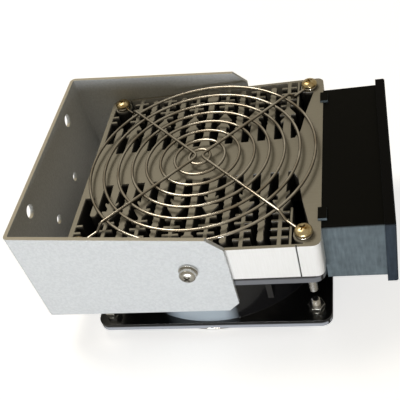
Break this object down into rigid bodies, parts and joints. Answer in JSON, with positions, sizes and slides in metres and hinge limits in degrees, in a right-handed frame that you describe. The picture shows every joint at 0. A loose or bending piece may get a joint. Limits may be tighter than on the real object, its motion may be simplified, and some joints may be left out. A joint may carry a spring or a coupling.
{
  "type": "enclosure fan heater",
  "caption": "Square axial fan with a finned aluminium heating profile, wire finger guards and a terminal box, swivelling in a bent steel mounting bracket.",
  "frame": {"origin": "on the bracket's mounting face, at mid width, level with the swivel axis", "axes": "+X away from the mounting face towards the terminal box, +Y along the swivel axis, +Z the way the air blows"},
  "size_m": [0.1719, 0.1338, 0.08],
  "materials": {
    "bracket_coat": "fine textured light grey powder coat",
    "nickel": "nickel plated",
    "profile_aluminium": "matte sawn and milled extrusion",
    "cartridge_steel": "satin stainless tube",
    "guard_wire": "bright plated wire",
    "yellow_zinc": "yellow passivated zinc",
    "black_enamel": "gloss black paint",
    "brass_tube": "turned brass",
    "bearing_steel": "ground steel",
    "lamination": "stacked electrical sheet",
    "enamelled_wire": "enamelled copper wire",
    "box_plastic": "black moulded plastic, slightly worn",
    "lid_plastic": "black moulded plastic",
    "block_plastic": "white moulded plastic",
    "gland_plastic": "black nylon",
    "seal_rubber": "matte"
  },
  "bodies": {
    "bracket": {"mounting_bracket": "bracket_coat"},
    "heater_unit": {"pivot_screws": "nickel", "pivot_washers": "nickel", "pivot_spring_washers": "nickel", "heating_profile": "profile_aluminium", "heating_cartridges": "cartridge_steel", "upper_finger_guard": "guard_wire", "lower_finger_guard": "guard_wire", "upper_guard_screws": "yellow_zinc", "upper_guard_nuts": "nickel", "lower_guard_screws": "nickel", "lower_guard_washers": "nickel", "lower_guard_nuts": "nickel", "fan_housing": "black_enamel", "bearing_tube": "brass_tube", "ball_bearings": "bearing_steel", "stator_stack": "lamination", "stator_windings": "enamelled_wire", "terminal_box": "box_plastic", "terminal_box_lid": "lid_plastic", "lid_screws": "nickel", "box_fixing_screws": "nickel", "limiter_screws": "nickel", "temperature_limiter": "cartridge_steel", "earth_washer": "nickel", "earth_screw": "nickel", "terminal_block": "block_plastic", "terminal_clamps": "brass_tube", "terminal_screws": "nickel", "gland_body": "gland_plastic", "gland_locknut": "gland_plastic", "gland_dome_nut": "gland_plastic", "gland_seal": "seal_rubber"},
    "fan_rotor": {"rotor_cup": "black_enamel", "rotor_cage": "lamination", "impeller": "black_enamel", "fan_shaft": "bearing_steel", "shaft_retaining_ring": "bearing_steel"}
  },
  "joints": [
    {"name": "swivel", "type": "hinge", "parent": "bracket", "child": "heater_unit", "pos_m": [0.0815, 0, 0], "axis": [0, 1, 0], "range_deg": [-150, 125]},
    {"name": "fan_spin", "type": "hinge", "parent": "heater_unit", "child": "fan_rotor", "pos_m": [0.0815, 0, -0.029], "axis": [0, 0, 1], "continuous": true}
  ]
}
